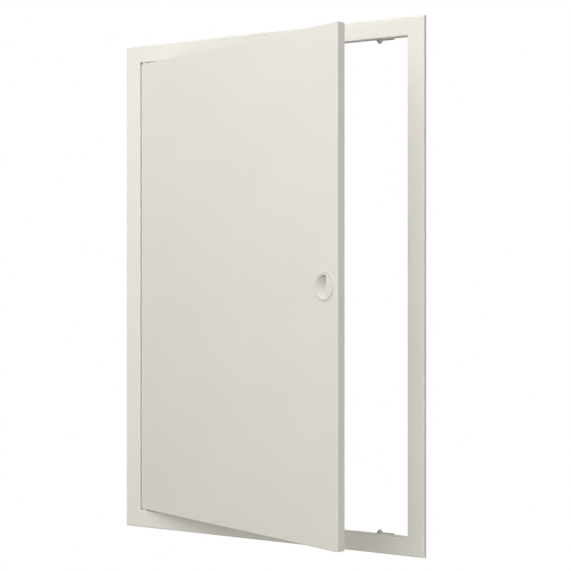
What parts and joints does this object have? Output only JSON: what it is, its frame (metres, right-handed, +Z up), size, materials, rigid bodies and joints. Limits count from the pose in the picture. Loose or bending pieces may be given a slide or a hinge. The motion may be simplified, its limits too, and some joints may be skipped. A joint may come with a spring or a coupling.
{
  "type": "access panel",
  "caption": "Wall access panel: folded sheet steel frame with a hinged pan door, stop lugs behind the lips and a quarter turn finger latch.",
  "frame": {"origin": "middle of the frame's lower edge on the wall plane, on the back edge of the bottom rail's return", "axes": "+X to the right seen from the room, +Y into the wall, +Z up"},
  "size_m": [0.42, 0.1466, 0.62],
  "materials": {
    "coated_steel": "satin white powder coat",
    "stud_metal": "zinc plated",
    "pin_steel": "bright zinc plated",
    "nylon": "natural white nylon",
    "latch_plastic": "moulded white plastic, fine satin",
    "zinc_steel": "zinc plated"
  },
  "bodies": {
    "frame": {"frame_top_rail": "coated_steel", "frame_bottom_rail": "coated_steel", "frame_hinge_rail": "coated_steel", "frame_lock_rail": "coated_steel", "stop_lug_top": "coated_steel", "stop_lug_bottom": "coated_steel", "stop_stud_top": "stud_metal", "stop_stud_bottom": "stud_metal", "hinge_pin_top": "pin_steel", "hinge_pin_bottom": "pin_steel", "hinge_bush_top": "nylon", "hinge_bush_bottom": "nylon"},
    "door": {"door_pan": "coated_steel", "latch_bezel": "latch_plastic", "latch_nut": "latch_plastic"},
    "latch": {"latch_rotor": "latch_plastic", "latch_cam": "zinc_steel", "cam_screw": "zinc_steel"}
  },
  "joints": [
    {"name": "door_hinge", "type": "hinge", "parent": "frame", "child": "door", "pos_m": [-0.18251, -0.0005, 0.31], "axis": [0, 0, -1], "range_deg": [-19.9, 80.1]},
    {"name": "latch_turn", "type": "hinge", "parent": "door", "child": "latch", "pos_m": [0.14298, -0.12258, 0.31], "axis": [0.3404, 0.9403, 0], "range_deg": [-90, 0]}
  ]
}
